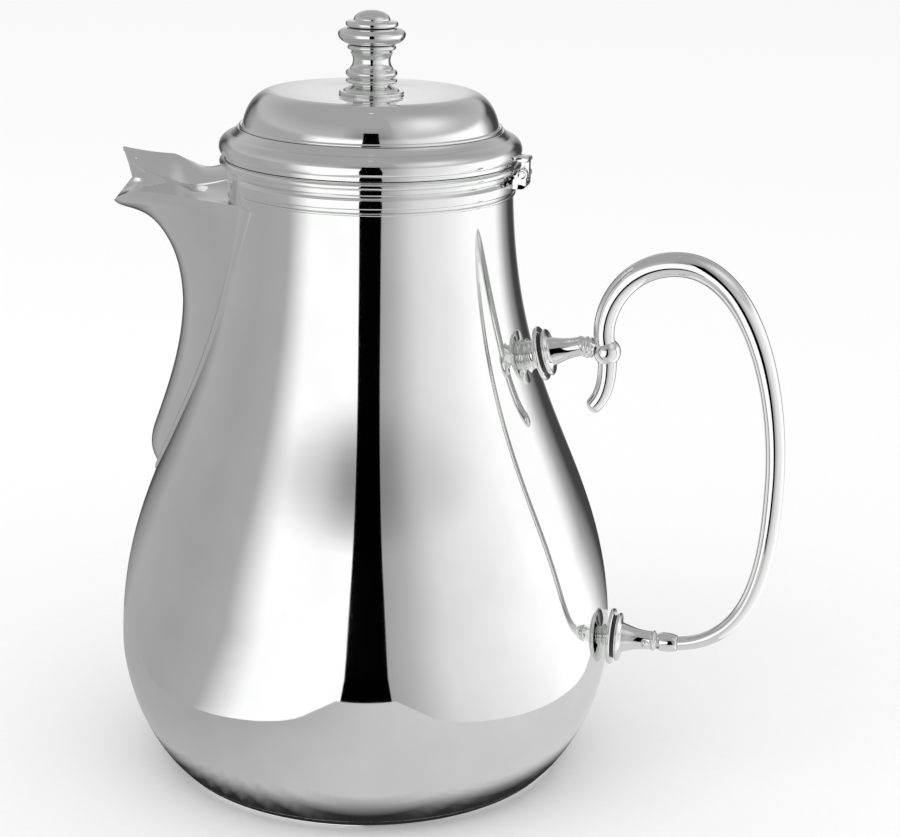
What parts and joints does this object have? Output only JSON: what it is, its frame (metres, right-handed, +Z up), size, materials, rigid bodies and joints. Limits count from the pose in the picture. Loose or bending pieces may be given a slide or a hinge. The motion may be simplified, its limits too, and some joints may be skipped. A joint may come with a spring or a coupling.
{
  "type": "coffee pot",
  "caption": "Polished silver coffee pot with a pear-shaped body, a covered beak spout, a hinged domed lid with a turned finial and a looped handle.",
  "frame": {"origin": "on the pot's axis, in the plane that it stands on", "axes": "+Z up along the pot's axis, +X towards the handle, -X towards the spout"},
  "size_m": [0.1785, 0.13, 0.1977],
  "materials": {
    "silver": "polished",
    "washer": "satin",
    "fastener": "satin"
  },
  "bodies": {
    "pot": {"body_shell": "silver", "base_plate": "silver", "foot_ring": "silver", "neck_wire": "silver", "neck_band": "silver", "rim_ring": "silver", "spout": "silver", "spout_cover": "silver", "spout_seam": "silver", "strainer": "silver", "hinge_bracket": "silver", "hinge_pin": "silver", "handle": "silver", "upper_foot": "silver", "upper_washer": "washer", "upper_trumpet": "silver", "upper_collar": "silver", "lower_foot": "silver", "lower_washer": "washer", "lower_trumpet": "silver", "lower_ferrule": "silver", "lower_rivet": "silver"},
    "lid": {"lid_leaf": "silver", "lid_shell": "silver", "lid_bead": "silver", "lid_bezel": "silver", "finial_base": "silver", "finial_stem": "silver", "finial_knob": "silver", "finial_rod": "fastener", "finial_washer": "fastener", "finial_nut": "fastener"}
  },
  "joints": [
    {"name": "lid_hinge", "type": "hinge", "parent": "pot", "child": "lid", "pos_m": [0.0397, 0, 0.1592], "axis": [0, 1, 0], "range_deg": [0, 100]}
  ]
}
